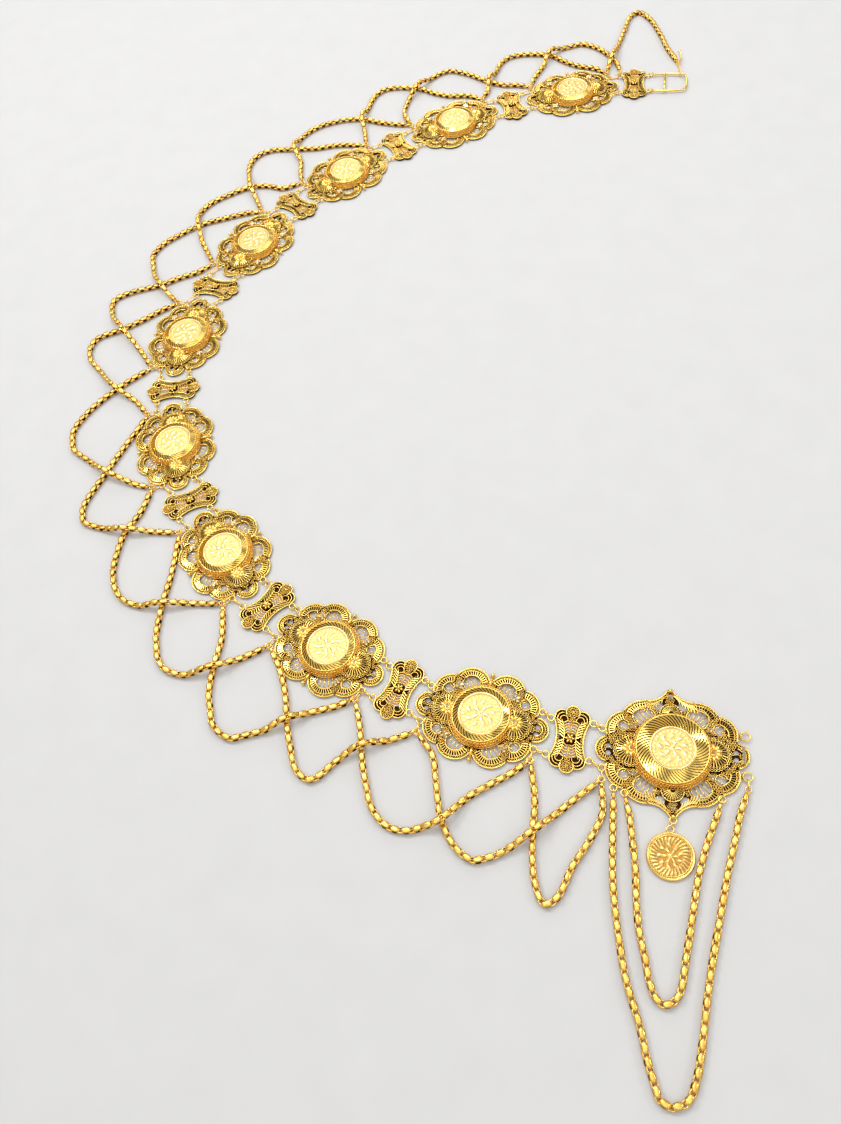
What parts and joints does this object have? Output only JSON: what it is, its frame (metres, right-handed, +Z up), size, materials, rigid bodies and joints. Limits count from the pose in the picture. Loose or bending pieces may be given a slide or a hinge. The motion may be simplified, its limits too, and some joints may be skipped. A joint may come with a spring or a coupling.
{
  "type": "gold belt",
  "caption": "Gold waist belt lying open: openwork coin plates on jump rings, crossing chain swags, a coin pendant, a buckle with a hidden hook and a wire clasp frame.",
  "frame": {"origin": "middle of the belt's bounding box, on the surface that it lies on", "axes": "+Z up from the surface, +Y the way the camera looks, from the buckle towards the clasp frame, along the belt's longest extent as it lies"},
  "size_m": [0.369, 0.5584, 0.006],
  "materials": {
    "plate": "warm yellow gold, cast and wire filigree, polished on the raised parts",
    "wire": "bright yellow gold wire",
    "chain": "yellow gold round box chain"
  },
  "bodies": {
    "root": {"buckle": "plate", "medallion_1": "plate", "medallion_2": "plate", "medallion_3": "plate", "medallion_4": "plate", "medallion_5": "plate", "medallion_6": "plate", "medallion_7": "plate", "medallion_8": "plate", "medallion_9": "plate", "spacer_1": "plate", "spacer_2": "plate", "spacer_3": "plate", "spacer_4": "plate", "spacer_5": "plate", "spacer_6": "plate", "spacer_7": "plate", "spacer_8": "plate", "spacer_9": "plate", "spacer_10": "plate", "links_1": "wire", "links_2": "wire", "links_3": "wire", "links_4": "wire", "links_5": "wire", "links_6": "wire", "links_7": "wire", "links_8": "wire", "links_9": "wire", "links_10": "wire", "chain_1": "chain", "chain_2": "chain", "chain_3": "chain", "chain_4": "chain", "chain_5": "chain", "chain_6": "chain", "chain_7": "chain", "chain_8": "chain", "chain_9": "chain", "chain_10": "chain", "chain_11": "chain", "chain_12": "chain", "chain_13": "chain", "chain_14": "chain", "chain_15": "chain", "chain_16": "chain", "chain_17": "chain", "chain_18": "chain", "chain_19": "chain", "chain_20": "chain", "loop_outer": "chain", "loop_inner": "chain", "buckle_rings": "wire", "pendant": "plate", "clasp_frame": "wire", "end_hook": "wire"}
  },
  "joints": []
}
